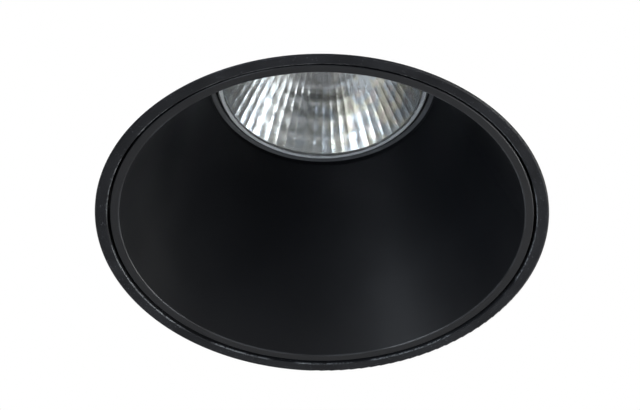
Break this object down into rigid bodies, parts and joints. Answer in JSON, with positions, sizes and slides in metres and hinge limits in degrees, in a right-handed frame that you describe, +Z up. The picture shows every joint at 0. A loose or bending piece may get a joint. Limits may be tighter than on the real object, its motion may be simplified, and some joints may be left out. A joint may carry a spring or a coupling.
{
  "type": "soffit downlight",
  "caption": "Round recessed soffit downlight with a thin trim ring, a deep tilting cone, a faceted reflector lamp, spring clips and a terminal box on its vented housing.",
  "frame": {"origin": "centre of the trim ring's visible face, which is the lowest plane of the part", "axes": "+Z up into the soffit along the ring's axis, Y along the tilt axis through both clips, +X towards the cable gland"},
  "size_m": [0.1, 0.1526, 0.1293],
  "materials": {
    "textured_black": "black powder coat with a fine texture",
    "matt_black": "smooth satin black",
    "black_rubber": "matt",
    "grey_rubber": "matt",
    "zinc_steel": "zinc plated",
    "spring_steel": "drawn wire",
    "clip_plastic": "moulded",
    "housing_aluminium": "deep drawn, satin",
    "holder_ceramic": "unglazed",
    "contact_brass": "bright",
    "live_sleeve": "silicone",
    "neutral_sleeve": "silicone",
    "earth_sleeve": "silicone",
    "box_plastic": "fine moulded texture",
    "terminal_plastic": "moulded",
    "gland_plastic": "moulded",
    "front_glass": "clear, polished",
    "reflector_mirror": "faceted vacuum coating",
    "quartz_glass": "clear",
    "tungsten": "drawn wire",
    "lamp_ceramic": "unglazed",
    "pin_nickel": "nickel plated"
  },
  "bodies": {
    "mounting_ring": {"trim_ring": "textured_black", "soffit_gasket": "black_rubber", "clip_rivets": "zinc_steel", "friction_washers": "spring_steel", "clip_bracket_right": "zinc_steel", "clip_bracket_left": "zinc_steel", "clip_pin_right": "zinc_steel", "clip_pin_left": "zinc_steel", "clip_spring_right": "spring_steel", "clip_spring_left": "spring_steel"},
    "clip_right": {"clip_arm_right": "zinc_steel", "clip_foot_right": "clip_plastic"},
    "clip_left": {"clip_arm_left": "zinc_steel", "clip_foot_left": "clip_plastic"},
    "tilting_head": {"reflector_cone": "matt_black", "pivot_pins": "spring_steel", "lamp_seat_ring": "grey_rubber", "lamp_housing": "housing_aluminium", "housing_gasket": "black_rubber", "housing_screws": "zinc_steel", "holder_face": "holder_ceramic", "lamp_holder": "holder_ceramic", "holder_contacts": "contact_brass", "holder_screws": "zinc_steel", "live_lead": "live_sleeve", "neutral_lead": "neutral_sleeve", "earth_lead": "earth_sleeve", "earth_screw": "contact_brass", "earth_tag": "contact_brass", "terminal_box": "box_plastic", "box_screws": "zinc_steel", "terminal_block": "terminal_plastic", "terminal_screws": "zinc_steel", "cover_gasket": "black_rubber", "terminal_cover": "box_plastic", "cover_screws": "zinc_steel", "gland_body": "gland_plastic", "gland_seal": "black_rubber", "gland_nut": "gland_plastic", "gland_locknut": "gland_plastic"},
    "lamp": {"lamp_front_glass": "front_glass", "lamp_reflector": "reflector_mirror", "lamp_capsule": "quartz_glass", "lamp_filament": "tungsten", "lamp_base": "lamp_ceramic", "lamp_pins": "pin_nickel"}
  },
  "joints": [
    {"name": "tilt", "type": "hinge", "parent": "mounting_ring", "child": "tilting_head", "pos_m": [0, 0, 0.0035], "axis": [0, 1, 0], "range_deg": [-20, 20]},
    {"name": "clip_right_swing", "type": "hinge", "parent": "mounting_ring", "child": "clip_right", "pos_m": [0, 0.0419, 0.03142], "axis": [1, 0, 0], "range_deg": [0, 120], "stiffness_Nm_per_rad": 0.11, "springref_deg": -22.92, "deforming": ["clip_spring_right"]},
    {"name": "clip_left_swing", "type": "hinge", "parent": "mounting_ring", "child": "clip_left", "pos_m": [0, -0.0419, 0.03142], "axis": [-1, 0, 0], "range_deg": [0, 120], "stiffness_Nm_per_rad": 0.11, "springref_deg": -22.92, "deforming": ["clip_spring_left"]},
    {"name": "lamp_twist", "type": "hinge", "parent": "tilting_head", "child": "lamp", "pos_m": [0, 0, 0.0447], "axis": [0, 0, -1], "range_deg": [0, 22]}
  ]
}
